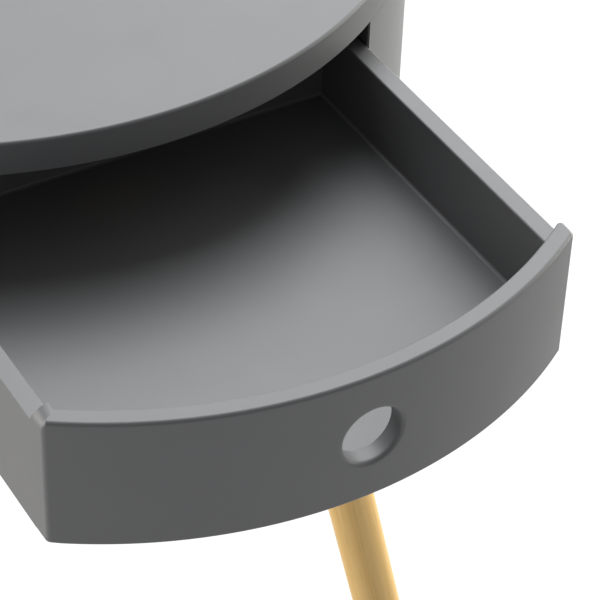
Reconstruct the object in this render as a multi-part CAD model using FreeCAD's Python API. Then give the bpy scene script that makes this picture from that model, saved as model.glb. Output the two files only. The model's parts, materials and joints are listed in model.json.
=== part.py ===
import FreeCAD, Part
import math
import os

V = FreeCAD.Vector

# Side table with drawer: a round painted drum on three splayed wooden legs, with one drawer
# whose bent front closes flush with the drum. Millimetres, +Z up, floor at z = 0, drum axis on Z.
# The drawer faces -Y. It is laid out closed and then carried forward by drawer_out.

# drum
drum_r = 200.0
drum_top = 500.0
board_t = 15.0
opening_h = 66.0
opening_half_w = 113.0
wall_t = 12.0
edge_round = 1.5

# drawer
drawer_out = 151.5
board_d = 8.0
drawer_half_w = 112.0
gap_below = 2.0
front_h = 59.5
side_h = 52.6
back_rear_y = 16.0
panel_t = 4.0
panel_up = 13.0
tongue_t = 3.0
field_gap = 0.25
groove_d = 4.0
front_round = 2.0
front_corner = 4.0
board_round = 1.0
mouth_round = 0.8
hole_r = 12.5
hole_round = 1.4
hole_up = front_h / 2
hole_x = 3.5

# guides and stops
guide_t = 14.0
guide_rear_y = 100.0
ledge_w = 10.0
ledge_h = 10.4
ledge_front_y = -142.0
rail_y0 = -163.0
rail_y1 = -153.0
rail_half_l = 90.0
rail_h = 9.4
tape_t = 1.7
tape_w = 7.0
tape_y0 = -142.0
tape_y1 = 12.0
stop_x = 80.0
stop_w = 30.0
stop_l = 16.0
stop_h = 34.0
stop_block_t = 6.0
bumper_t = 2.0
bumper_r = 6.0
bumper_up = 26.0
fit_gap = 0.3

# legs
leg_angles = {"front_left": -150.0, "front_right": -30.0, "back": 90.0}
leg_circle = 125.3
splay = 12.6
leg_top_r = 14.0
leg_foot_r = 12.5
plate_w = 62.0
plate_t = 2.5
boss_r = 16.5
boss_len = 9.0
stud_r = 4.0
stud_in_leg = 38.0
pad_t = 3.0
pad_r = 11.0

# derived levels
z_board1 = drum_top - board_t
z_board0 = z_board1 - opening_h
z_under = z_board0 - board_t
z_drawer = z_board0 + gap_below
z_front_top = z_drawer + front_h
z_side_top = z_drawer + side_h
z_panel0 = z_drawer + panel_up
z_tongue = z_panel0 + tongue_t
z_panel1 = z_panel0 + panel_t
y_back0 = back_rear_y - board_d
side_in = drawer_half_w - board_d
front_in_r = drum_r - board_d
wall_in_r = drum_r - wall_t
pieces = {}


def box(x0, x1, y0, y1, z0, z1):
    return Part.makeBox(x1 - x0, y1 - y0, z1 - z0, V(x0, y0, z0))


def post(r, x, y, z0, z1):
    return Part.makeCylinder(r, z1 - z0, V(x, y, z0))


def ring(r_in, r_out, z0, z1):
    return post(r_out, 0, 0, z0, z1).cut(post(r_in, 0, 0, z0 - 1, z1 + 1))


def cut_all(body, tools):
    for tool in tools:
        body = body.cut(tool)
    return body.removeSplitter()


def edges_where(shape, test):
    return [e for e in shape.Edges if test(e)]


def screw(tip, head, shank_r, head_r, head_h):
    """A countersunk screw: a shank from tip to head and a cone opening to head_r at the head end."""
    axis = head - tip
    length = axis.Length
    axis.normalize()
    shank = Part.makeCylinder(shank_r, length - head_h, tip, axis)
    cone = Part.makeCone(shank_r, head_r, head_h, tip + axis * (length - head_h), axis)
    body = shank.fuse(cone).removeSplitter()
    drive = Part.makeCylinder(head_r * 0.42, head_h * 0.5, head - axis * (head_h * 0.5), axis)
    return body.cut(drive)


def screw_hole(tip, head, shank_r, head_r, head_h):
    """The hole that a countersunk screw fills."""
    axis = head - tip
    length = axis.Length
    axis.normalize()
    shank = Part.makeCylinder(shank_r, length - head_h, tip, axis)
    cone = Part.makeCone(shank_r, head_r, head_h, tip + axis * (length - head_h), axis)
    return shank.fuse(cone)


def at_angle(r, degrees, z):
    a = math.radians(degrees)
    return V(r * math.cos(a), r * math.sin(a), z)


# --- fasteners, placed first so that the boards can be drilled for them ---
dowel_r = 3.0
dowel_half = 11.0
dowel_angles = [-45.0, 0.0, 45.0, 90.0, 135.0, 180.0, 225.0]
dowel_circle = (drum_r + wall_in_r) / 2
guide_x = opening_half_w + guide_t / 2
guide_screw = (2.0, 4.0, 2.2)
plate_screw = (1.8, 3.8, 2.0)
small_screw = (1.5, 3.0, 1.6)


def wall_dowels():
    found = []
    for a in dowel_angles:
        for level in (z_board0, z_board1):
            p = at_angle(dowel_circle, a, level)
            found.append(post(dowel_r, p.x, p.y, level - dowel_half, level + dowel_half))
    return found


def guide_screw_lines():
    """Tip and head of each screw driven up through the bottom board."""
    lines = []
    for side in (-1, 1):
        for y in (-115.0, 0.0, 85.0):
            x = side * guide_x
            lines.append((V(x, y, z_under + 38), V(x, y, z_under)))
        lines.append((V(side * stop_x, rear_stop_y0 + stop_l / 2, z_under + 34),
                      V(side * stop_x, rear_stop_y0 + stop_l / 2, z_under)))
    return lines


def rail_screw_lines():
    y = (rail_y0 + rail_y1) / 2
    z = z_board1 - rail_h
    return [(V(x, y, z + 20), V(x, y, z)) for x in (-75.0, 0.0, 75.0)]


def plate_screw_lines(angle):
    lines = []
    reach = plate_w / 2 - 8
    centre = at_angle(leg_circle, angle, z_under)
    for du in (-reach, reach):
        for dv in (-reach, reach):
            p = centre + turned(du, dv, angle)
            lines.append((p + V(0, 0, 11), p - V(0, 0, plate_t)))
    return lines


def turned(u, v, angle):
    a = math.radians(angle)
    return V(u * math.cos(a) - v * math.sin(a), u * math.sin(a) + v * math.cos(a), 0)


rear_stop_y0 = back_rear_y + fit_gap + bumper_t
dowels = wall_dowels()
guide_holes = [screw_hole(a, b, *guide_screw) for a, b in guide_screw_lines()]
rail_holes = [screw_hole(a, b, *small_screw) for a, b in rail_screw_lines()]
plate_lines = {k: plate_screw_lines(a) for k, a in leg_angles.items()}


# --- drum ---
def top_board():
    body = post(drum_r, 0, 0, z_board1, drum_top)
    rim = edges_where(body, lambda e: abs(e.BoundBox.ZMin - drum_top) < 1e-6 and len(e.Vertexes) == 1)
    body = body.makeFillet(edge_round, rim)
    return cut_all(body, dowels + rail_holes)


def bottom_board():
    body = post(drum_r, 0, 0, z_under, z_board0)
    rim = edges_where(body, lambda e: abs(e.BoundBox.ZMax - z_under) < 1e-6 and len(e.Vertexes) == 1)
    body = body.makeFillet(edge_round, rim)
    holes = [screw_hole(a, b, *plate_screw) for lines in plate_lines.values() for a, b in lines]
    return cut_all(body, dowels + guide_holes + holes)


def side_wall():
    body = ring(wall_in_r, drum_r, z_board0, z_board1)
    mouth = box(-opening_half_w, opening_half_w, -drum_r - 1, -100, z_board0 - 1, z_board1 + 1)
    body = body.cut(mouth).removeSplitter()
    outer_y = -math.sqrt(drum_r ** 2 - opening_half_w ** 2)
    lips = edges_where(body, lambda e: e.BoundBox.ZLength > opening_h - 1
                       and abs(e.BoundBox.YMin - outer_y) < 0.1)
    return cut_all(body.makeFillet(mouth_round, lips), dowels)


def guide(side):
    """Upright beside the drawer, with a ledge over the drawer side that keeps it level."""
    lo, hi = sorted((side * opening_half_w, side * (opening_half_w + guide_t)))
    body = box(lo, hi, -190, guide_rear_y, z_board0, z_board1)
    lo, hi = sorted((side * (opening_half_w - ledge_w), side * opening_half_w))
    body = body.fuse(box(lo, hi, ledge_front_y, guide_rear_y, z_board1 - ledge_h, z_board1))
    body = body.common(post(wall_in_r, 0, 0, z_board0, z_board1))
    return cut_all(body, guide_holes)


def stop_rail():
    """Cross rail under the top board that the stop on the drawer back meets."""
    body = box(-rail_half_l, rail_half_l, rail_y0, rail_y1, z_board1 - rail_h, z_board1)
    return cut_all(body, rail_holes)


def rear_stop(side):
    x = side * stop_x
    y = rear_stop_y0
    body = box(x - stop_w / 2, x + stop_w / 2, y, y + stop_l, z_board0, z_board0 + stop_h)
    return cut_all(body, guide_holes)


def rear_bumpers():
    found = []
    for side in (-1, 1):
        base = V(side * stop_x, rear_stop_y0 - bumper_t, z_board0 + bumper_up)
        pad = Part.makeCylinder(bumper_r, bumper_t, base, V(0, 1, 0))
        rim = edges_where(pad, lambda e: e.BoundBox.YMax < base.y + 1e-6 and len(e.Vertexes) == 1)
        found.append(pad.makeFillet(0.8, rim))
    return found


def slide_tape(side):
    """Low-friction strip that the drawer side runs on."""
    x = side * (drawer_half_w - board_d / 2)
    body = box(x - tape_w / 2, x + tape_w / 2, tape_y0, tape_y1, z_board0, z_board0 + tape_t)
    ends = edges_where(body, lambda e: e.BoundBox.ZMin > z_board0 + tape_t - 1e-6
                       and e.BoundBox.XLength > tape_w - 1)
    return body.makeFillet(1.0, ends)


# --- legs ---
def leg_axis(angle):
    s = math.radians(splay)
    out = at_angle(math.sin(s), angle, 0)
    return V(out.x, out.y, -math.cos(s))


def leg_point(angle, along):
    return at_angle(leg_circle, angle, z_under) + leg_axis(angle) * along


def leg(angle):
    """Tapered round leg, square to its axis at the top and cut level at the foot."""
    u = leg_axis(angle)
    length = z_under / math.cos(math.radians(splay)) + 6
    body = Part.makeCone(leg_top_r, leg_foot_r, length - boss_len, leg_point(angle, boss_len), u)
    top = edges_where(body, lambda e: len(e.Vertexes) == 1 and e.BoundBox.ZMin > z_under - 40)
    body = body.makeFillet(1.0, top)
    body = body.cut(box(-400, 400, -400, 400, -60, pad_t))
    foot = edges_where(body, lambda e: e.BoundBox.ZMax < pad_t + 1e-4)
    body = body.makeChamfer(0.8, foot)
    hole = Part.makeCylinder(stud_r, stud_in_leg + 1, leg_point(angle, boss_len - 1), u)
    return body.cut(hole).removeSplitter()


def leg_plate(angle):
    """Square steel plate with a slanted boss that the leg screws up against."""
    u = leg_axis(angle)
    half = plate_w / 2
    body = box(-half, half, -half, half, z_under - plate_t, z_under)
    corners = edges_where(body, lambda e: e.BoundBox.ZLength > plate_t - 0.01)
    body = body.makeFillet(6.0, corners)
    rim = edges_where(body, lambda e: e.BoundBox.ZMax < z_under - plate_t + 1e-6)
    body = body.makeFillet(0.6, rim)
    body.rotate(V(0, 0, 0), V(0, 0, 1), angle)
    body.translate(at_angle(leg_circle, angle, 0))
    boss = Part.makeCylinder(boss_r, 40, leg_point(angle, boss_len), u * -1)
    boss = boss.common(box(-400, 400, -400, 400, z_under - 60, z_under))
    body = body.fuse(boss).removeSplitter()
    holes = [screw_hole(a, b, *plate_screw) for a, b in plate_screw_lines(angle)]
    stud = Part.makeCylinder(stud_r, 60, leg_point(angle, boss_len + 5), u * -1)
    return cut_all(body, holes + [stud])


def stud(angle):
    """Threaded stud, plain shank here, from the boss down into the leg."""
    u = leg_axis(angle)
    body = Part.makeCylinder(stud_r, stud_in_leg + boss_len - 1.5, leg_point(angle, 1.5), u)
    return body.makeChamfer(0.6, edges_where(body, lambda e: len(e.Vertexes) == 1
                                             and e.BoundBox.DiagonalLength > stud_r))


def foot_pad(angle):
    centre = leg_point(angle, z_under / math.cos(math.radians(splay)))
    pad = post(pad_r, centre.x, centre.y, 0, pad_t)
    rim = edges_where(pad, lambda e: e.BoundBox.ZMax < 1e-6)
    return pad.makeChamfer(0.5, rim)


# --- drawer, laid out closed ---
def drawer_front():
    """Bent panel on the drum's radius, with rounded edges, a finger hole and a groove for the bottom."""
    body = ring(front_in_r, drum_r, z_drawer, z_front_top)
    body = body.common(box(-drawer_half_w, drawer_half_w, -drum_r - 1, -100, z_drawer - 1, z_front_top + 1))
    outer_y = -math.sqrt(drum_r ** 2 - drawer_half_w ** 2)
    corners = edges_where(body, lambda e: e.BoundBox.ZLength > front_h - 1
                          and abs(e.BoundBox.YMin - outer_y) < 0.1)
    body = body.makeFillet(front_corner, corners)
    top = edges_where(body, lambda e: e.BoundBox.ZMin > z_front_top - 1e-6
                      and e.BoundBox.YMin < -drum_r + 1 and e.BoundBox.XLength > 150)
    body = body.makeFillet(front_round, top)
    inner = edges_where(body, lambda e: e.BoundBox.ZMin > z_front_top - 1e-6
                        and e.BoundBox.YMin > -front_in_r - 0.5 and e.BoundBox.XLength > 150)
    low = edges_where(body, lambda e: e.BoundBox.ZMax < z_drawer + 1e-6 and e.BoundBox.XLength > 150)
    body = body.makeFillet(board_round, inner + low)
    body = body.cut(Part.makeCylinder(hole_r, 80, V(hole_x, -250, z_drawer + hole_up), V(0, 1, 0)))
    body = body.removeSplitter()
    rims = edges_where(body, lambda e: abs(e.BoundBox.XLength - 2 * hole_r) < 0.05
                       and abs(e.BoundBox.ZLength - 2 * hole_r) < 0.05)
    outer = [e for e in rims if e.BoundBox.YMin < -drum_r + 1]
    body = body.makeFillet(hole_round, outer)
    inner = edges_where(body, lambda e: abs(e.BoundBox.XLength - 2 * hole_r) < 0.05
                        and e.BoundBox.YMax > -front_in_r - 0.5 and e.BoundBox.ZLength > hole_r)
    body = body.makeFillet(1.0, inner)
    slot = ring(front_in_r - 5, front_in_r + groove_d, z_panel0, z_tongue)
    reach = side_in + groove_d
    slot = slot.common(box(-reach, reach, -drum_r, -100, z_panel0 - 1, z_panel1 + 1))
    return cut_all(body, [slot] + front_dowels())


def front_dowels():
    found = []
    for side in (-1, 1):
        for z in (z_drawer + 20, z_drawer + 40):
            x = side * (drawer_half_w - board_d / 2)
            found.append(Part.makeCylinder(2.0, 18, V(x, -164.5, z), V(0, 1, 0)))
    return found


def back_screw_lines():
    y = y_back0 + board_d / 2
    lines = []
    for side in (-1, 1):
        for z in (z_drawer + 22, z_drawer + 42):
            lines.append((V(side * (drawer_half_w - 28), y, z), V(side * drawer_half_w, y, z)))
    return lines


def bottom_screw_lines():
    y = y_back0 + board_d / 2
    return [(V(x, y, z_panel0 + 18), V(x, y, z_panel0)) for x in (-80.0, 0.0, 80.0)]


def stop_screw_lines():
    z = z_side_top - 12
    y = y_back0 - stop_block_t
    return [(V(x, y + 12, z), V(x, y, z)) for x in (-12.0, 12.0)]


def drawer_side(side):
    lo, hi = sorted((side * side_in, side * drawer_half_w))
    body = box(lo, hi, -190, back_rear_y, z_drawer, z_side_top)
    body = body.common(post(front_in_r, 0, 0, z_drawer, z_side_top)).removeSplitter()
    body = body.makeFillet(board_round, edges_where(body, lambda e: e.BoundBox.YLength > 100
                                                    and e.BoundBox.ZMin > z_side_top - 1e-6))
    lo, hi = sorted((side * (side_in - 1), side * (side_in + groove_d)))
    groove = box(lo, hi, -200, back_rear_y + 1, z_panel0, z_tongue)
    holes = [screw_hole(a, b, *small_screw) for a, b in back_screw_lines()]
    return cut_all(body, [groove] + holes + front_dowels())


def drawer_back():
    body = box(-side_in, side_in, y_back0, back_rear_y, z_tongue, z_side_top)
    body = body.makeFillet(board_round, edges_where(body, lambda e: e.BoundBox.XLength > 100
                                                    and e.BoundBox.ZMin > z_side_top - 1e-6))
    lines = back_screw_lines() + bottom_screw_lines() + stop_screw_lines()
    return cut_all(body, [screw_hole(a, b, *small_screw) for a, b in lines])


def drawer_bottom():
    """Thin panel whose edges are rebated to a tongue that slides in the grooves and passes under
    the back, with the full-thickness field standing just inside the boards."""
    reach = side_in + groove_d
    body = post(front_in_r + groove_d, 0, 0, z_panel0, z_tongue)
    body = body.common(box(-reach, reach, -drum_r, back_rear_y, z_panel0 - 1, z_panel1 + 1))
    half = side_in - field_gap
    field = post(front_in_r - field_gap, 0, 0, z_panel0, z_panel1)
    field = field.common(box(-half, half, -drum_r, y_back0 - field_gap, z_panel0 - 1, z_panel1 + 1))
    body = body.fuse(field)
    return cut_all(body, [screw_hole(a, b, *small_screw) for a, b in bottom_screw_lines()])


def drawer_stop():
    """Block put on from inside the drawer once it is in the drum."""
    body = box(-22, 22, y_back0 - stop_block_t, y_back0, z_side_top - 24, z_side_top + 9)
    corners = edges_where(body, lambda e: e.BoundBox.YLength > stop_block_t - 0.01)
    body = body.makeFillet(3.0, corners)
    return cut_all(body, [screw_hole(a, b, *small_screw) for a, b in stop_screw_lines()])


def screws(lines, size):
    return [screw(a, b, *size) for a, b in lines]


pieces["top_board"] = top_board()
pieces["bottom_board"] = bottom_board()
pieces["side_wall"] = side_wall()
pieces["guide_left"] = guide(-1)
pieces["guide_right"] = guide(1)
pieces["stop_rail"] = stop_rail()
pieces["rear_stop_left"] = rear_stop(-1)
pieces["rear_stop_right"] = rear_stop(1)
pieces["rear_bumpers"] = Part.makeCompound(rear_bumpers())
pieces["slide_tape_left"] = slide_tape(-1)
pieces["slide_tape_right"] = slide_tape(1)
pieces["wall_dowels"] = Part.makeCompound(dowels)
pieces["guide_screws"] = Part.makeCompound(screws(guide_screw_lines(), guide_screw))
pieces["stop_rail_screws"] = Part.makeCompound(screws(rail_screw_lines(), small_screw))
for name, angle in leg_angles.items():
    pieces["leg_" + name] = leg(angle)
    pieces["leg_plate_" + name] = leg_plate(angle)
    pieces["foot_pad_" + name] = foot_pad(angle)
pieces["leg_studs"] = Part.makeCompound([stud(a) for a in leg_angles.values()])
pieces["plate_screws"] = Part.makeCompound(
    [s for lines in plate_lines.values() for s in screws(lines, plate_screw)])

drawer = {
    "drawer_front": drawer_front(),
    "drawer_side_left": drawer_side(-1),
    "drawer_side_right": drawer_side(1),
    "drawer_back": drawer_back(),
    "drawer_bottom": drawer_bottom(),
    "drawer_stop": drawer_stop(),
    "front_dowels": Part.makeCompound(front_dowels()),
    "drawer_back_screws": Part.makeCompound(screws(back_screw_lines(), small_screw)),
    "drawer_bottom_screws": Part.makeCompound(screws(bottom_screw_lines(), small_screw)),
    "drawer_stop_screws": Part.makeCompound(screws(stop_screw_lines(), small_screw)),
}
for name, shape in drawer.items():
    shape.translate(V(0, -drawer_out, 0))
    pieces[name] = shape

os.makedirs("parts", exist_ok=True)
for name, shape in pieces.items():
    shape.exportStep("parts/" + name + ".step")
    print(name, len(shape.Solids), shape.isValid(), round(shape.Volume / 1000, 2))
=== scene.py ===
import json
import math

import bmesh
import bpy
from mathutils import Matrix, Vector


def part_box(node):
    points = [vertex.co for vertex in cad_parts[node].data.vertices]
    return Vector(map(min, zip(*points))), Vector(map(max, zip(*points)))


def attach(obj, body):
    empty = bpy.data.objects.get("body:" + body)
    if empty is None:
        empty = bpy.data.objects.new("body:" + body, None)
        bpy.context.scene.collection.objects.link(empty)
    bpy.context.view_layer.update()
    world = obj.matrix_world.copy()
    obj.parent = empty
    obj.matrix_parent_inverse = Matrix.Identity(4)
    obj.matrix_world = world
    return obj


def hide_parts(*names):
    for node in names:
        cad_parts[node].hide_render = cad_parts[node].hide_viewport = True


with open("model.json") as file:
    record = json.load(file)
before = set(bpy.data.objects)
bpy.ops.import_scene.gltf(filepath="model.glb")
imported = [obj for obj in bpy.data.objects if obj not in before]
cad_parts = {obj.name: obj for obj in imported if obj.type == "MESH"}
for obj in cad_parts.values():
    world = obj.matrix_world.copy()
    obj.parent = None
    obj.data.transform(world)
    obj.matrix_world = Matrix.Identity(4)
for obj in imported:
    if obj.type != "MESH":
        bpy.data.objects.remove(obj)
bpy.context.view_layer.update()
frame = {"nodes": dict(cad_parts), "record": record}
nodes = frame["nodes"]
scene = bpy.context.scene
scene.view_settings.view_transform = "Standard"
scene.view_settings.look = "None"


# --- shader helpers -------------------------------------------------------------------------
# Nearly all values of a noise texture lie between these two.
NOISE_LOW = 0.3
NOISE_HIGH = 0.7


class Tree:
    """A short way to add shader nodes and link them."""

    def __init__(self, name):
        self.material = bpy.data.materials.new(name)
        self.material.use_nodes = True
        self.nodes = self.material.node_tree.nodes
        self.links = self.material.node_tree.links
        self.nodes.clear()
        self.out = self.add("ShaderNodeOutputMaterial")
        self.bsdf = self.add("ShaderNodeBsdfPrincipled")
        self.link(self.bsdf.outputs[0], self.out.inputs[0])
        self.place = self.add("ShaderNodeTexCoord").outputs["Object"]

    def add(self, kind, **values):
        node = self.nodes.new(kind)
        for key, value in values.items():
            setattr(node, key, value)
        return node

    def link(self, source, target):
        self.links.new(source, target)

    def mapping(self, source, scale=(1, 1, 1), rotation=(0, 0, 0)):
        node = self.add("ShaderNodeMapping")
        node.inputs["Scale"].default_value = scale
        node.inputs["Rotation"].default_value = rotation
        self.link(source, node.inputs["Vector"])
        return node.outputs[0]

    def noise(self, vector, scale, detail=3.0, roughness=0.5, distortion=0.0):
        node = self.add("ShaderNodeTexNoise")
        node.inputs["Scale"].default_value = scale
        node.inputs["Detail"].default_value = detail
        node.inputs["Roughness"].default_value = roughness
        node.inputs["Distortion"].default_value = distortion
        self.link(vector, node.inputs["Vector"])
        return node.outputs[0]

    def ramp(self, source, stops):
        node = self.add("ShaderNodeValToRGB")
        points = node.color_ramp.elements
        while len(points) < len(stops):
            points.new(0.5)
        for point, (at, colour) in zip(points, stops):
            point.position = at
            point.color = (*colour, 1.0)
        self.link(source, node.inputs[0])
        return node.outputs[0]

    def two_tone(self, source, dark, light):
        """Two colours that a noise runs between."""
        return self.ramp(source, [(NOISE_LOW, dark), (NOISE_HIGH, light)])

    def spread(self, source, low, high, start=NOISE_LOW, end=NOISE_HIGH):
        """A value that goes from low to high as the source goes from start to end."""
        node = self.add("ShaderNodeMapRange")
        node.inputs["From Min"].default_value = start
        node.inputs["From Max"].default_value = end
        node.inputs["To Min"].default_value = low
        node.inputs["To Max"].default_value = high
        self.link(source, node.inputs["Value"])
        return node.outputs[0]

    def tint(self, amount, colour, added):
        """The colour with a fixed one mixed in, by an amount that varies over the surface."""
        node = self.add("ShaderNodeMix", data_type="RGBA")
        self.link(amount, node.inputs[0])
        self.link(colour, node.inputs[6])
        node.inputs[7].default_value = (*added, 1.0)
        return node.outputs[2]

    def bump(self, height, distance, strength, normal=None):
        node = self.add("ShaderNodeBump")
        node.inputs["Strength"].default_value = strength
        node.inputs["Distance"].default_value = distance
        self.link(height, node.inputs["Height"])
        if normal is not None:
            self.link(normal, node.inputs["Normal"])
        return node.outputs[0]

    def finish(self, colour, roughness, normal=None, **fixed):
        self.link(colour, self.bsdf.inputs["Base Color"])
        self.link(roughness, self.bsdf.inputs["Roughness"])
        if normal is not None:
            self.link(normal, self.bsdf.inputs["Normal"])
        for key, value in fixed.items():
            self.bsdf.inputs[key.replace("_", " ")].default_value = value
        return self.material


# --- materials ------------------------------------------------------------------------------
def satin_paint(name, dark, light, roughness):
    """Rolled satin paint: faint clouding, a fine stipple, and roughness that wanders a little."""
    t = Tree(name)
    cloud = t.noise(t.place, scale=9.0, detail=4.0, roughness=0.55)
    stipple = t.noise(t.place, scale=850.0, detail=2.0, roughness=0.6)
    fleck = t.noise(t.place, scale=2600.0, detail=1.0)
    fleck_tone = tuple(1.35 * v for v in light)
    colour = t.two_tone(cloud, dark, light)
    colour = t.tint(t.spread(fleck, 0.0, 0.05, start=0.45, end=0.75), colour, fleck_tone)
    rough = t.spread(t.noise(t.place, scale=38.0), roughness - 0.012, roughness + 0.015)
    wave = t.bump(t.noise(t.place, scale=55.0, detail=2.0), distance=0.00004, strength=0.2)
    skin = t.bump(stipple, distance=0.00006, strength=0.5, normal=wave)
    return t.finish(colour, rough, skin, IOR=1.46, Specular_IOR_Level=0.4)


def pale_wood(name, early, late, pore, along, gloss):
    """Straight-grained pale wood: growth bands, fine pores along the grain and slow colour drift."""
    t = Tree(name)
    tilt = Vector((0, 0, 1)).rotation_difference(Vector(along)).inverted().to_euler()
    place = t.mapping(t.place, rotation=tuple(tilt))
    bands = t.noise(t.mapping(place, (46.0, 46.0, 2.2)), scale=1.6, distortion=0.6)
    streak = t.noise(t.mapping(place, (420.0, 420.0, 9.0)), scale=1.0, roughness=0.6)
    pores = t.noise(t.mapping(place, (1500.0, 1500.0, 42.0)), scale=1.0, detail=2.0, roughness=0.6)
    pore_depth = tuple(0.6 * v for v in pore)
    colour = t.ramp(bands, [(0.3, early), (0.52, late), (0.6, early), (0.74, late)])
    colour = t.tint(t.spread(streak, 0.0, 0.26, start=0.35, end=0.75), colour, pore)
    colour = t.tint(t.spread(pores, 0.0, 0.3, start=0.56, end=0.72), colour, pore_depth)
    rough = t.spread(streak, gloss - 0.06, gloss + 0.1)
    ridges = t.bump(streak, distance=0.00012, strength=0.25)
    grain = t.bump(pores, distance=0.00008, strength=0.35, normal=ridges)
    return t.finish(colour, rough, grain, IOR=1.48, Specular_IOR_Level=0.25)


def bare_metal(name, tint, roughness):
    """Zinc plate: small crystals that differ in tone, and a fine uneven skin."""
    t = Tree(name)
    spangle = t.add("ShaderNodeTexVoronoi", feature="F1")
    spangle.inputs["Scale"].default_value = 900.0
    t.link(t.place, spangle.inputs["Vector"])
    tone = t.spread(spangle.outputs["Distance"], 0.86, 1.08, start=0.0, end=0.8)
    shade = t.add("ShaderNodeHueSaturation")
    shade.inputs["Color"].default_value = (*tint, 1.0)
    t.link(tone, shade.inputs["Value"])
    rough = t.spread(t.noise(t.place, scale=260.0), roughness - 0.08, roughness + 0.12)
    skin = t.bump(t.noise(t.place, scale=1400.0, detail=2.0), distance=0.00003, strength=0.4)
    return t.finish(shade.outputs[0], rough, skin, Metallic=1.0)


def powder_coat(name, dark, light):
    """Black powder coat with its fine orange-peel grit."""
    t = Tree(name)
    grit = t.noise(t.place, scale=1900.0, detail=2.0, roughness=0.6)
    colour = t.two_tone(t.noise(t.place, scale=70.0), dark, light)
    skin = t.bump(grit, distance=0.00007, strength=0.6)
    return t.finish(colour, t.spread(grit, 0.42, 0.62), skin, IOR=1.5)


def pressed_felt(name, dark, light):
    """Pressed felt: short tangled fibres in two tones."""
    t = Tree(name)
    fibre = t.noise(t.place, scale=1500.0, detail=5.0, roughness=0.75, distortion=1.8)
    colour = t.ramp(fibre, [(0.32, dark), (0.68, light)])
    rough = t.spread(fibre, 0.85, 1.0, start=0.0, end=1.0)
    nap = t.bump(fibre, distance=0.0004, strength=0.8)
    return t.finish(colour, rough, nap, Sheen_Weight=0.4, Sheen_Roughness=0.5)


def soft_plastic(name, dark, light, roughness):
    """Rubber or plastic with a moulded grain."""
    t = Tree(name)
    grain = t.noise(t.place, scale=1100.0, detail=2.0)
    colour = t.two_tone(t.noise(t.place, scale=60.0), dark, light)
    rough = t.spread(grain, roughness - 0.06, roughness + 0.08)
    return t.finish(colour, rough, t.bump(grain, distance=0.00004, strength=0.5), IOR=1.5)


paint = satin_paint("satin_grey_paint", (0.095, 0.0965, 0.099), (0.101, 0.1025, 0.105), 0.5)
finishes = {
    "painted_board": paint,
    "drawer_panel": satin_paint("drawer_panel_foil", (0.095, 0.0965, 0.099), (0.1, 0.1015, 0.104), 0.48),
    "zinc_steel": bare_metal("zinc_plate", (0.62, 0.61, 0.58), 0.36),
    "black_steel": powder_coat("black_powder_coat", (0.018, 0.018, 0.019), (0.03, 0.03, 0.031)),
    "felt": pressed_felt("pressed_felt", (0.09, 0.075, 0.06), (0.2, 0.17, 0.14)),
    "soft_rubber": soft_plastic("soft_rubber", (0.02, 0.02, 0.021), (0.034, 0.034, 0.035), 0.7),
    "slip_tape": soft_plastic("slip_tape", (0.72, 0.72, 0.7), (0.8, 0.8, 0.78), 0.3),
    "inner_wood": pale_wood("plain_wood", early=(0.62, 0.47, 0.28), late=(0.52, 0.37, 0.2),
                            pore=(0.4, 0.27, 0.14), along=(0, 1, 0), gloss=0.68),
}
LEG_WOOD = {"early": (0.58, 0.385, 0.148), "late": (0.54, 0.345, 0.117), "pore": (0.42, 0.255, 0.08)}
FOOT_SLICE = 0.004
HEAD_SLICE = 0.008


def leg_direction(name):
    """The leg's axis, from the middle of its top to the middle of its foot."""
    points = [v.co for v in nodes[name].data.vertices]
    low, high = min(p.z for p in points), max(p.z for p in points)
    foot = [p for p in points if p.z < low + FOOT_SLICE]
    head = [p for p in points if p.z > high - HEAD_SLICE]
    return (sum(foot, Vector()) / len(foot) - sum(head, Vector()) / len(head)).normalized()


def dress_cad_nodes():
    """Put each slot's material on its CAD nodes. Each leg has its own, with the grain along the leg."""
    for part in frame["record"]["subparts"]:
        name = part["node"]
        finish = finishes.get(part["material_slot"])
        if finish is None:
            finish = pale_wood("leg_wood_" + name, along=leg_direction(name), gloss=0.5, **LEG_WOOD)
        for material_slot in nodes[name].material_slots:
            material_slot.material = finish


# --- mesh helpers ---------------------------------------------------------------------------
# Two plan edges whose directions differ by less than this sine are treated as one smooth curve.
SMOOTH_SINE = 0.3
# Faces that meet at more than this angle, in degrees, keep a sharp edge between them.
SHARP_ANGLE = 34.0


def edge_normals(points):
    """Outward normal of each edge (i, i+1) of a plan that runs anticlockwise."""
    found = []
    for i, p in enumerate(points):
        step = (points[(i + 1) % len(points)] - p).normalized()
        found.append(Vector((step.y, -step.x)))
    return found


def insets(points, radii):
    """How far, and how high, each plan point moves as its two edges round off."""
    normals = edge_normals(points)
    found = []
    for i in range(len(points)):
        n1, n2, r1, r2 = normals[i - 1], normals[i], radii[i - 1], radii[i]
        det = n1.x * n2.y - n1.y * n2.x
        if abs(det) > SMOOTH_SINE:
            move = Vector((-r1 * n2.y + r2 * n1.y, r1 * n2.x - r2 * n1.x)) / det
        else:
            move = -(n1 + n2).normalized() * (r1 + r2) / 2
        found.append((move, max(r1, r2)))
    return found


def bridge(bm, a, b):
    """A band of faces between two closed rings of vertices."""
    for i in range(len(a)):
        j = (i + 1) % len(a)
        bm.faces.new((a[i], a[j], b[j], b[i]))


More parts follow.
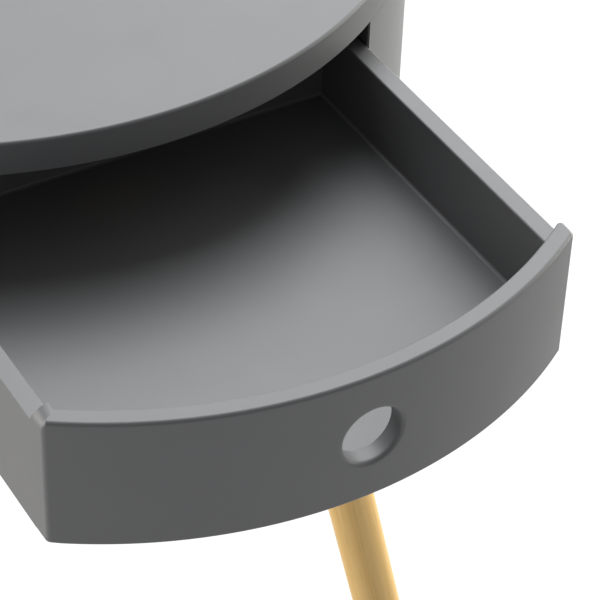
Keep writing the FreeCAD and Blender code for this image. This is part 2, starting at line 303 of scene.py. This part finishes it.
def slab(bm, points, z0, z1, top, bottom, rows=1, steps=5):
    """A board of any plan with rounded upper and lower edges. Returns its wall rows of vertices.

    top and bottom give each plan edge its rounding radius.
    """
    low, high = insets(points, bottom), insets(points, top)

    def rounding(step, z, up, moves):
        """One ring of an edge's rounding, from step 0 on the flat face to the last on the wall."""
        turn = math.pi / 2 * step / steps
        inward, rise = 1 - math.sin(turn), up * (1 - math.cos(turn))
        return [bm.verts.new((*(p + move * inward), z + height * rise))
                for p, (move, height) in zip(points, moves)]

    rings = [rounding(step, z0, 1, low) for step in range(steps + 1)]
    walls = [rings[-1]]
    for row in range(1, rows):
        share = row / rows
        rings.append([bm.verts.new((*p, (z0 + a[1]) * (1 - share) + (z1 - b[1]) * share))
                      for p, a, b in zip(points, low, high)])
        walls.append(rings[-1])
    upper = [rounding(step, z1, -1, high) for step in range(steps, -1, -1)]
    walls.append(upper[0])
    rings += upper
    for a, b in zip(rings, rings[1:]):
        bridge(bm, a, b)
    bm.faces.new(rings[0][::-1])
    bm.faces.new(rings[-1])
    return walls


def piece_from(bm, name, body, finish, replaced=(), sharp=SHARP_ANGLE):
    """Make the mesh a visible piece that rides on a body, in place of the CAD nodes named."""
    mesh = bpy.data.meshes.new(name)
    bmesh.ops.recalc_face_normals(bm, faces=bm.faces)
    bm.to_mesh(mesh)
    bm.free()
    mesh.shade_smooth()
    mesh.set_sharp_from_angle(angle=math.radians(sharp))
    piece = bpy.data.objects.new(name, mesh)
    scene.collection.objects.link(piece)
    weighted = piece.modifiers.new("flat_faces_stay_flat", "WEIGHTED_NORMAL")
    weighted.keep_sharp = True
    weighted.weight = 90
    mesh.materials.append(finish)
    if replaced:
        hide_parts(*replaced)
    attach(piece, body)


def arc(radius, start, end, count, centre=(0.0, 0.0)):
    """Points on an arc, from one angle to another in degrees."""
    angles = [math.radians(start + (end - start) * i / count) for i in range(count + 1)]
    return [Vector((centre[0] + radius * math.cos(a), centre[1] + radius * math.sin(a))) for a in angles]


# --- places taken from the CAD --------------------------------------------------------------
top_low, top_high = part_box("top_board")
wall_low, wall_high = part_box("side_wall")
front_low, front_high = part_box("drawer_front")
side_low, side_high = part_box("drawer_side_right")
back_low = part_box("drawer_back")[0]
floor_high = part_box("drawer_bottom")[1]
drum_r = top_high.x
drum_top = top_high.z
board = side_high.x - side_low.x
inner_r = drum_r - board
front_centre = (0.0, front_low.y + drum_r)


def front_y(r, x):
    """Y at x on an arc of radius r about the axis of the bent drawer front."""
    return front_centre[1] - math.sqrt(r * r - x * x)


# --- drum -----------------------------------------------------------------------------------
TOP_SIDES = 288
TOP_ROUND = 0.0015
SEAM_ROUND = 0.0003
WALL_THICK = 0.012
MOUTH_HALF = 0.113
LIP_ROUND = 0.0008


def make_top():
    """The round top board, with a softened upper edge and a fine one at its seam with the wall."""
    bm = bmesh.new()
    plan = arc(drum_r, 0, 360, count=TOP_SIDES)[:-1]
    slab(bm, plan, top_low.z, drum_top, [TOP_ROUND] * TOP_SIDES, [SEAM_ROUND] * TOP_SIDES, steps=7)
    piece_from(bm, "top_disc", "table", paint, ["top_board"])


def make_wall():
    """The drum's wall, open at the front, with the outer edge of each of its two lips eased."""
    outer_angle = math.degrees(math.asin(MOUTH_HALF / drum_r))
    inner_angle = math.degrees(math.asin(MOUTH_HALF / (drum_r - WALL_THICK)))
    lip = math.degrees(LIP_ROUND / drum_r)
    lip_y = -math.sqrt((drum_r - LIP_ROUND) ** 2 - MOUTH_HALF ** 2)
    outer = arc(drum_r, -90 + outer_angle + lip, 270 - outer_angle - lip, count=240)
    inner = arc(drum_r - WALL_THICK, 270 - inner_angle, -90 + inner_angle, count=200)
    plan = outer + [Vector((-MOUTH_HALF, lip_y))] + inner + [Vector((MOUTH_HALF, lip_y))]
    radii = [SEAM_ROUND] * len(plan)
    bm = bmesh.new()
    slab(bm, plan, wall_low.z, wall_high.z, radii, radii, steps=2)
    piece_from(bm, "drum_wall", "table", paint, ["side_wall"])


# --- bent drawer front ----------------------------------------------------------------------
# The finger hole is let into a block of grid cells, as high as the front's flat face and reaching
# HOLE_BLOCK to either side of the hole. LEFT_STEPS and RIGHT_STEPS are the columns beside it.
HOLE_R = 0.0125
HOLE_X = 0.0035
HOLE_BLOCK = 0.024
CELLS = 16
LEFT_STEPS = 30
RIGHT_STEPS = 28
HOLE_FACE_ROUND = 0.0020
HOLE_BACK_ROUND = 0.0003
HOLE_ROUND_STEPS = 6
HOLE_WEB = (0.12, 0.3, 0.52, 0.76)

# Plan roundings of the front's ends, and the stretch of inner face that the left end's roll-over takes.
OUTER_CORNER = 0.003
INNER_CORNER = 0.0017
ROLL_STRETCH = 0.0078

# Edge roundings of the front. The left end rolls over from ROLL_TOP at its inner corner.
OUTER_TOP = 0.0016
INNER_TOP = 0.0010
ROLL_TOP = 0.0066
ROLL_POWER = 1.3
OUTER_BOTTOM = 0.0011
INNER_BOTTOM = 0.0004
LEFT_BOTTOM = 0.0014


def levels(first, last):
    """X of the front's columns: even cells in the hole's block, and even steps on either side of it."""
    block = [HOLE_X + HOLE_BLOCK * (2 * i / CELLS - 1) for i in range(CELLS + 1)]
    before = [first + (block[0] - first) * i / LEFT_STEPS for i in range(LEFT_STEPS)]
    after = [block[-1] + (last - block[-1]) * i / RIGHT_STEPS for i in range(1, RIGHT_STEPS + 1)]
    return before + block + after


def end_corner(orbit, corner):
    """Centre of a corner at the front's right end, orbit away from the front's axis, and its bearing."""
    x = front_high.x - corner
    reach = math.sqrt(orbit ** 2 - x ** 2)
    return (x, front_centre[1] - reach), math.degrees(math.atan2(x, reach))


def between(start, end_y, steps):
    """Points along an end face, without its two ends."""
    return [Vector((start.x, start.y + (end_y - start.y) * i / steps)) for i in range(1, steps)]


def front_plan():
    """The front's plan, anticlockwise: outer face, right end, inner face and left end."""
    end = front_high.x
    outer_centre, swing = end_corner(drum_r - OUTER_CORNER, OUTER_CORNER)
    inner_centre, inner_swing = end_corner(inner_r + INNER_CORNER, INNER_CORNER)
    outer_end = drum_r * math.sin(math.radians(swing))
    inner_end = inner_r * math.sin(math.radians(inner_swing))
    corner = arc(OUTER_CORNER, -90 + swing, 0, count=7, centre=outer_centre)[1:]
    outer = [Vector((x, front_y(drum_r, x))) for x in levels(-outer_end, outer_end)]
    right = corner + between(corner[-1], inner_centre[1], steps=4)
    right += arc(INNER_CORNER, 0, 90 + inner_swing, count=6, centre=inner_centre)[:-1]
    kept = [x for x in levels(-end, inner_end) if x == -end or x > -end + ROLL_STRETCH]
    inner = [Vector((x, front_y(inner_r, x))) for x in reversed(kept)]
    mirrored = corner + between(corner[-1], front_y(inner_r, end), steps=6)
    left = [Vector((-p.x, p.y)) for p in reversed(mirrored)]
    return outer, right, inner, left


def front_roundings(outer, right, inner, left):
    """Upper and lower rounding of each plan edge, from the counts of the plan's four stretches."""
    rightward = [i / right for i in range(right)]
    leftward = [i / left for i in range(left + 1)]
    top = [OUTER_TOP] * outer
    top += [OUTER_TOP + (INNER_TOP - OUTER_TOP) * t for t in rightward]
    top += [INNER_TOP] * (inner - 1)
    top += [ROLL_TOP + (OUTER_TOP - ROLL_TOP) * t ** ROLL_POWER for t in leftward]
    bottom = [OUTER_BOTTOM] * outer + [INNER_BOTTOM] * (right + inner - 1)
    bottom += [INNER_BOTTOM + (LEFT_BOTTOM - INNER_BOTTOM) * t for t in leftward]
    return top, bottom


def block_edge(walls, columns):
    """The vertices round a block of columns, from its low left corner, seen from its own face."""
    low = [walls[0][i] for i in columns]
    right_up = [row[columns[-1]] for row in walls]
    high = [walls[-1][i] for i in reversed(columns)]
    left_down = [row[columns[0]] for row in reversed(walls)]
    return low[:-1] + right_up[:-1] + high[:-1] + left_down[:-1]


def block_faces(walls, columns):
    """The faces of a block of columns."""
    found = set()
    for a, b in zip(columns, columns[1:]):
        for low, high in zip(walls, walls[1:]):
            corners = {low[a], low[b], high[a], high[b]}
            found |= {f for f in low[a].link_faces if set(f.verts) == corners}
    return found


def hole_lip(bm, face_r, rounding, inward):
    """Rings of the hole's rim, from a bent face in to the bore."""
    hole_z = (front_low.z + front_high.z) / 2
    spin = [2 * math.pi * i / (4 * CELLS) - 3 * math.pi / 4 for i in range(4 * CELLS)]
    rings = []
    for step in range(HOLE_ROUND_STEPS + 1):
        turn = math.pi / 2 * step / HOLE_ROUND_STEPS
        r = HOLE_R + rounding * (1 - math.sin(turn))
        depth = inward * rounding * (1 - math.cos(turn))
        places = [(HOLE_X + r * math.cos(a), hole_z + r * math.sin(a)) for a in spin]
        rings.append([bm.verts.new((x, front_y(face_r, x) + depth, z)) for x, z in places])
    return rings


def hole_web(bm, rim, edge, face_r):
    """Rings from the hole's rim out to the block's edge, all on the bent face."""
    last = rim
    for t in HOLE_WEB:
        now = []
        for inner_v, outer_v in zip(rim, edge):
            x = inner_v.co.x + (outer_v.co.x - inner_v.co.x) * t
            z = inner_v.co.z + (outer_v.co.z - inner_v.co.z) * t
            now.append(bm.verts.new((x, front_y(face_r, x), z)))
        bridge(bm, last, now)
        last = now
    bridge(bm, last, edge)


def make_front():
    """The bent drawer front: a slab with rounded edges, and a finger hole let into both its faces."""
    outer, right, inner, left = front_plan()
    top, bottom = front_roundings(len(outer), len(right), len(inner), len(left))
    bm = bmesh.new()
    walls = slab(bm, outer + right + inner + left, front_low.z, front_high.z, top, bottom,
                 rows=CELLS, steps=7)
    inner_start = len(outer) + len(right) + RIGHT_STEPS
    outer_columns = list(range(LEFT_STEPS, LEFT_STEPS + CELLS + 1))
    inner_columns = list(range(inner_start + CELLS, inner_start - 1, -1))
    outer_edge, inner_edge = block_edge(walls, outer_columns), block_edge(walls, inner_columns)
    opened = block_faces(walls, outer_columns) | block_faces(walls, inner_columns)
    inside = {v for f in opened for v in f.verts} - set(outer_edge) - set(inner_edge)
    bmesh.ops.delete(bm, geom=list(opened), context="FACES_ONLY")
    bmesh.ops.delete(bm, geom=list(inside), context="VERTS")
    face_lip = hole_lip(bm, drum_r, HOLE_FACE_ROUND, 1)
    back_lip = hole_lip(bm, inner_r, HOLE_BACK_ROUND, -1)
    tube = face_lip + back_lip[::-1]
    for a, b in zip(tube, tube[1:]):
        bridge(bm, a, b)
    hole_web(bm, face_lip[0], outer_edge, drum_r)
    hole_web(bm, back_lip[0], inner_edge, inner_r)
    piece_from(bm, "bent_front", "drawer", paint, ["drawer_front"])


# --- drawer sides and the bead round the drawer's floor -------------------------------------
SIDE_FRONT = 0.0
SIDE_OUTER = 0.0004
SIDE_REAR = 0.0006
SIDE_INNER = 0.0008
SIDE_BOTTOM_SHARE = 0.4
BEAD_LEG = 0.0014
BEAD_SINK = 0.0002
BEAD_STEPS = 6
BEAD_CURVE = 0.75
BEAD_SHARP_ANGLE = 60.0
# Within BEAD_GAP of the finger hole's middle, the bead keeps these shares of its reach and its height.
BEAD_GAP = 0.016
BEAD_NEAR_HOLE = (0.37, 0.1)


def make_sides():
    """The two side boards, which end on the inner face of the bent front."""
    x1, x2 = side_low.x, side_high.x
    pieces = (("side_board_right", "drawer_side_right", 1), ("side_board_left", "drawer_side_left", -1))
    for name, cad, sign in pieces:
        plan = [Vector((sign * x1, front_y(inner_r, x1))), Vector((sign * x2, front_y(inner_r, x2))),
                Vector((sign * x2, side_high.y)), Vector((sign * x1, side_high.y))]
        top = [SIDE_FRONT, SIDE_OUTER, SIDE_REAR, SIDE_INNER]
        if sign < 0:
            plan.reverse()
            top = [SIDE_REAR, SIDE_OUTER, SIDE_FRONT, SIDE_INNER]
        bottom = [SIDE_BOTTOM_SHARE * r for r in top]
        bm = bmesh.new()
        slab(bm, plan, side_low.z, side_high.z, top, bottom, steps=6)
        piece_from(bm, name, "drawer", paint, [cad])


def bead_profile():
    """The bead's section, as distances in from the wall and up from the floor."""
    profile = [(-BEAD_SINK, -BEAD_SINK), (-BEAD_SINK, BEAD_LEG)]
    for step in range(1, BEAD_STEPS):
        share = step / BEAD_STEPS
        turn = math.pi / 2 * share
        inward = BEAD_CURVE * (1 - math.cos(turn)) + (1 - BEAD_CURVE) * share
        upward = BEAD_CURVE * (1 - math.sin(turn)) + (1 - BEAD_CURVE) * (1 - share)
        profile.append((BEAD_LEG * inward, BEAD_LEG * upward))
    return profile + [(BEAD_LEG, -BEAD_SINK)]


def make_bead():
    """Thin cove of filler where the drawer's floor meets its four walls, thinned by the finger hole."""
    x1 = side_low.x
    swing = math.degrees(math.asin(x1 / inner_r))
    plan = arc(inner_r, -90 - swing, -90 + swing, count=72, centre=front_centre)
    plan += [Vector((x1, back_low.y)), Vector((-x1, back_low.y))]
    moves = [move for move, _ in insets(plan, [1.0] * len(plan))]
    shares = [BEAD_NEAR_HOLE if abs(p.x - HOLE_X) < BEAD_GAP else (1.0, 1.0) for p in plan]
    bm = bmesh.new()
    rings = []
    for inward, upward in bead_profile():
        rings.append([bm.verts.new((*(p + move * inward * reach), floor_high.z + upward * rise))
                      for p, move, (reach, rise) in zip(plan, moves, shares)])
    for i, ring in enumerate(rings):
        bridge(bm, ring, rings[(i + 1) % len(rings)])
    piece_from(bm, "floor_bead", "drawer", paint, sharp=BEAD_SHARP_ANGLE)


dress_cad_nodes()
make_top()
make_wall()
make_front()
make_sides()
make_bead()


# --- stage, light and camera ----------------------------------------------------------------
STAGE_CENTRE = Vector((0.0, -0.2, drum_top - 0.06))
CAMERA_AIM = Vector((0.02487, -0.26148, drum_top - 0.06))
CAMERA_DISTANCE = 0.9973
CAMERA_AZIMUTH = -31.45
CAMERA_ELEVATION = 40.14
CAMERA_ROLL = 2.12
LENS_MM = 152.8974
SENSOR_MM = 36.0
FLOOR_RADIUS = 30.0
FLOOR_DARK = (0.034, 0.034, 0.034)
FLOOR_LIGHT = (0.038, 0.038, 0.038)
SKY = (0.315, 0.315, 0.32, 1.0)
# An area light's power for each square metre and each unit of radiance.
POWER_PER_RADIANCE = 4.0

# name, azimuth, elevation, distance, width and height, radiance, colour
LIGHTS = [
    ("backdrop", 142, 45, 2.6, (1.9, 1.6), 5.1, (0.97, 0.985, 1.0)),
    ("high", 178, 62, 2.6, (1.8, 1.8), 5.0, (0.97, 0.985, 1.0)),
    ("right_fill", 114, 20, 2.4, (1.9, 1.3), 4.1, (1.0, 0.99, 0.95)),
    ("right_low", 100, 2, 2.3, (2.6, 1.1), 7.1, (1.0, 0.98, 0.91)),
    ("left_low", -128, 2, 2.3, (2.2, 0.9), 7.2, (1.0, 0.98, 0.91)),
]


def bearing(azimuth, elevation):
    """Direction from the drawer, in degrees: azimuth 0 is in front of it and 90 is to its right."""
    a, e = math.radians(azimuth), math.radians(elevation)
    return Vector((math.cos(e) * math.sin(a), -math.cos(e) * math.cos(a), math.sin(e)))


def make_floor():
    """A wide, glowing pale floor that is clear when seen from below."""
    mesh = bpy.data.meshes.new("floor")
    bm = bmesh.new()
    bmesh.ops.create_circle(bm, cap_ends=True, segments=96, radius=FLOOR_RADIUS)
    bm.to_mesh(mesh)
    bm.free()
    floor = bpy.data.objects.new("floor", mesh)
    scene.collection.objects.link(floor)
    t = Tree("pale_floor")
    colour = t.two_tone(t.noise(t.place, scale=3.0), FLOOR_DARK, FLOOR_LIGHT)
    rough = t.spread(t.noise(t.place, scale=40.0), 0.7, 0.9, start=0.0, end=1.0)
    t.finish(colour, rough, Emission_Strength=1.0, Specular_IOR_Level=0.0)
    t.bsdf.inputs["Emission Color"].default_value = (1.0, 1.0, 1.0, 1.0)
    clear = t.add("ShaderNodeBsdfTransparent")
    choose = t.add("ShaderNodeMixShader")
    t.link(t.add("ShaderNodeNewGeometry").outputs["Backfacing"], choose.inputs[0])
    t.link(t.bsdf.outputs[0], choose.inputs[1])
    t.link(clear.outputs[0], choose.inputs[2])
    t.link(choose.outputs[0], t.out.inputs[0])
    mesh.materials.append(t.material)


def softbox(name, azimuth, elevation, distance, size, radiance, colour):
    """A soft rectangular light that faces the drawer and stays out of the camera's sight."""
    toward = bearing(azimuth, elevation)
    data = bpy.data.lights.new(name, "AREA")
    data.shape = "RECTANGLE"
    data.size, data.size_y = size
    data.energy = POWER_PER_RADIANCE * size[0] * size[1] * radiance
    data.color = colour
    lamp = bpy.data.objects.new(name, data)
    lamp.location = STAGE_CENTRE + toward * distance
    lamp.rotation_euler = (-toward).to_track_quat("-Z", "Y").to_euler()
    lamp.visible_camera = False
    scene.collection.objects.link(lamp)


def make_world():
    """Even grey light from all round."""
    world = bpy.data.worlds.new("studio")
    scene.world = world
    world.use_nodes = True
    background = world.node_tree.nodes["Background"]
    background.inputs["Color"].default_value = SKY
    background.inputs["Strength"].default_value = 1.0


def make_camera():
    """A long lens above and to the left of the drawer, rolled a little."""
    data = bpy.data.cameras.new("camera")
    data.sensor_width = SENSOR_MM
    data.lens = LENS_MM
    data.clip_start = 0.05
    data.clip_end = 100.0
    camera = bpy.data.objects.new("camera", data)
    scene.collection.objects.link(camera)
    scene.camera = camera
    back = bearing(CAMERA_AZIMUTH, CAMERA_ELEVATION)
    roll = Matrix.Rotation(math.radians(CAMERA_ROLL), 3, "Z").to_quaternion()
    camera.location = CAMERA_AIM + back * CAMERA_DISTANCE
    camera.rotation_mode = "QUATERNION"
    camera.rotation_quaternion = (-back).to_track_quat("-Z", "Y") @ roll


make_floor()
for light in LIGHTS:
    softbox(*light)
make_world()
make_camera()
